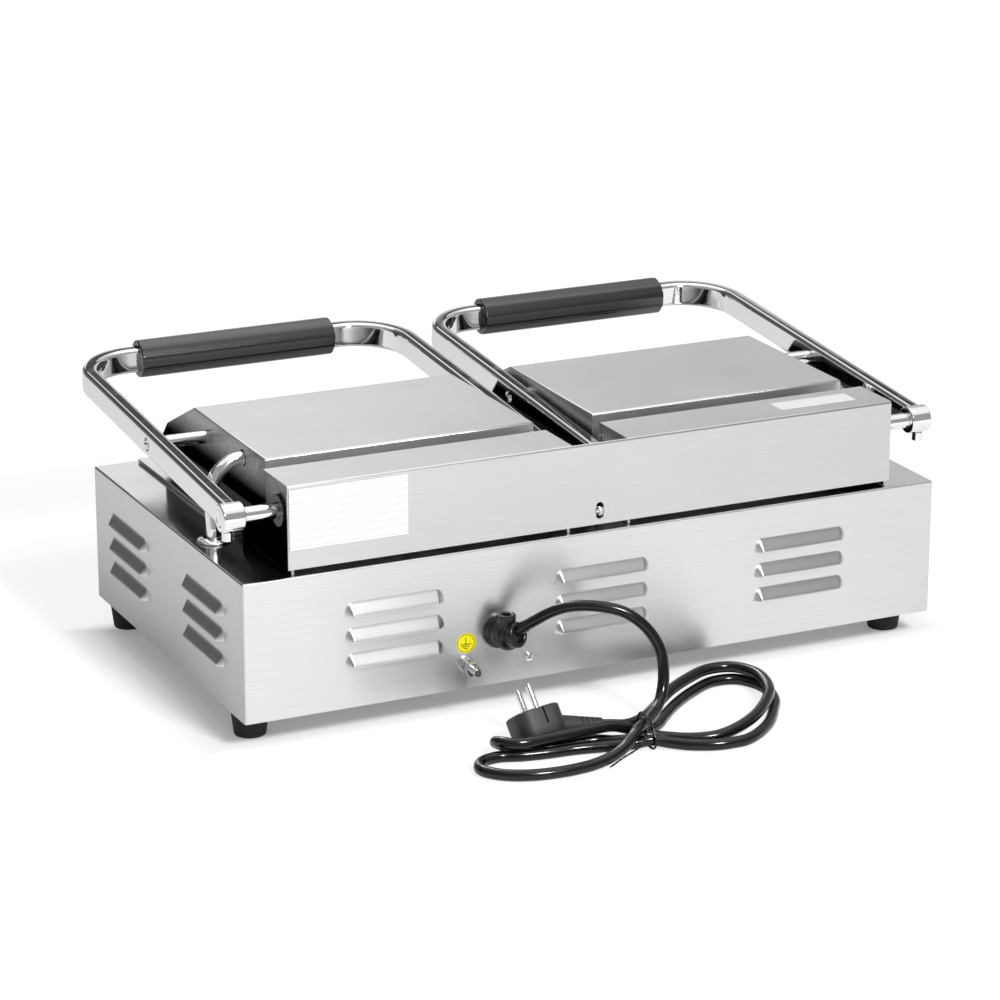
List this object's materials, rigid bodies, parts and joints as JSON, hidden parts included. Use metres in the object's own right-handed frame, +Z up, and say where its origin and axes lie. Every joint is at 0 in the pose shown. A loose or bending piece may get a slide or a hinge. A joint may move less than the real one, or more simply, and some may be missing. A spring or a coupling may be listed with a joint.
{
  "type": "double contact grill",
  "caption": "Double contact grill with a louvred stainless base, two hinged lids on bent chrome handles, a grease drawer and a tied mains cord.",
  "frame": {"origin": "on the floor, under the middle of the object measured without its mains cord", "axes": "+Z up, the controls face -Y, +X to the right of someone at the controls"},
  "size_m": [0.583, 0.5149, 0.2118],
  "materials": {
    "brushed_steel": "fine straight grain",
    "steel_plate": "plain rolled",
    "chrome": "polished",
    "cast_iron": "seasoned, matt",
    "bakelite": "semi-gloss black",
    "foot_rubber": "matt black",
    "cable_rubber": "satin black",
    "spring_steel": "oiled dark steel",
    "element_steel": "heat-tinted",
    "thermoset": "ivory, matt",
    "switch_green": "translucent green",
    "lamp_orange": "translucent orange",
    "brass": "plain",
    "blank_label": "blank foil"
  },
  "bodies": {
    "base": {"base_housing": "brushed_steel", "bearing_bracket_left": "steel_plate", "bearing_bracket_right": "steel_plate", "bottom_cover": "steel_plate", "cable_gland": "bakelite", "casing_screw": "chrome", "conduit_flange_left": "chrome", "conduit_flange_right": "chrome", "conduit_left": "chrome", "conduit_right": "chrome", "cord_hank": "cable_rubber", "cord_tie": "cable_rubber", "drip_apron": "brushed_steel", "earth_stud": "brass", "foot_front_left": "foot_rubber", "foot_front_right": "foot_rubber", "foot_rear_left": "foot_rubber", "foot_rear_right": "foot_rubber", "lower_element_left": "element_steel", "lower_element_right": "element_steel", "lower_plate": "cast_iron", "panel_screw": "chrome", "pilot_lamp_left": "lamp_orange", "pilot_lamp_right": "lamp_orange", "plug_body": "cable_rubber", "plug_pin_far": "chrome", "plug_pin_near": "chrome", "power_cord": "cable_rubber", "rating_plate": "blank_label", "shaft_bush_left": "bakelite", "shaft_bush_right": "bakelite", "spring_casing": "brushed_steel", "switch_body_left": "bakelite", "switch_body_right": "bakelite", "terminal_block": "thermoset", "thermostat_left": "thermoset", "thermostat_right": "thermoset", "torsion_spring_left": "spring_steel", "torsion_spring_right": "spring_steel"},
    "handle_right": {"handle_bar_right": "chrome", "grip_right": "bakelite", "shaft_right": "chrome", "cross_rod_right": "chrome", "hub_set_screw_right": "chrome"},
    "lid_right": {"lid_cover_right": "brushed_steel", "upper_plate_right": "cast_iron", "upper_element_right": "element_steel"},
    "knob_right": {"thermostat_knob_right": "bakelite"},
    "rocker_right": {"switch_rocker_right": "switch_green"},
    "handle_left": {"handle_bar_left": "chrome", "grip_left": "bakelite", "shaft_left": "chrome", "cross_rod_left": "chrome", "hub_set_screw_left": "chrome"},
    "lid_left": {"lid_cover_left": "brushed_steel", "upper_plate_left": "cast_iron", "upper_element_left": "element_steel"},
    "knob_left": {"thermostat_knob_left": "bakelite"},
    "rocker_left": {"switch_rocker_left": "switch_green"},
    "drawer": {"grease_drawer": "brushed_steel"}
  },
  "joints": [
    {"name": "handle_hinge_right", "type": "hinge", "parent": "base", "child": "handle_right", "pos_m": [0.149, 0.1459, 0.171], "axis": [-1, 0, 0], "range_deg": [0, 60], "deforming": ["conduit_right"]},
    {"name": "lid_pivot_right", "type": "hinge", "parent": "handle_right", "child": "lid_right", "pos_m": [0.132, -0.00773, 0.18298], "axis": [1, 0, 0], "range_deg": [0, 15]},
    {"name": "handle_hinge_left", "type": "hinge", "parent": "base", "child": "handle_left", "pos_m": [-0.149, 0.1459, 0.171], "axis": [-1, 0, 0], "range_deg": [0, 60], "deforming": ["conduit_left"]},
    {"name": "lid_pivot_left", "type": "hinge", "parent": "handle_left", "child": "lid_left", "pos_m": [-0.132, -0.00773, 0.18298], "axis": [1, 0, 0], "range_deg": [0, 15]},
    {"name": "knob_turn_right", "type": "hinge", "parent": "base", "child": "knob_right", "pos_m": [0.222, -0.1411, 0.088], "axis": [0, 1, 0], "range_deg": [0, 270]},
    {"name": "rocker_tilt_right", "type": "hinge", "parent": "base", "child": "rocker_right", "pos_m": [0.165, -0.1411, 0.088], "axis": [-1, 0, 0], "range_deg": [0, 20]},
    {"name": "knob_turn_left", "type": "hinge", "parent": "base", "child": "knob_left", "pos_m": [-0.222, -0.1411, 0.088], "axis": [0, 1, 0], "range_deg": [0, 270]},
    {"name": "rocker_tilt_left", "type": "hinge", "parent": "base", "child": "rocker_left", "pos_m": [-0.165, -0.1411, 0.088], "axis": [-1, 0, 0], "range_deg": [0, 20]},
    {"name": "drawer_slide", "type": "slide", "parent": "base", "child": "drawer", "axis": [0, -1, 0], "range_m": [0, 0.165]}
  ],
  "couplings": [
    {"joint": "lid_pivot_right", "follows": "handle_hinge_right", "ratio": 0.25},
    {"joint": "lid_pivot_left", "follows": "handle_hinge_left", "ratio": 0.25}
  ]
}
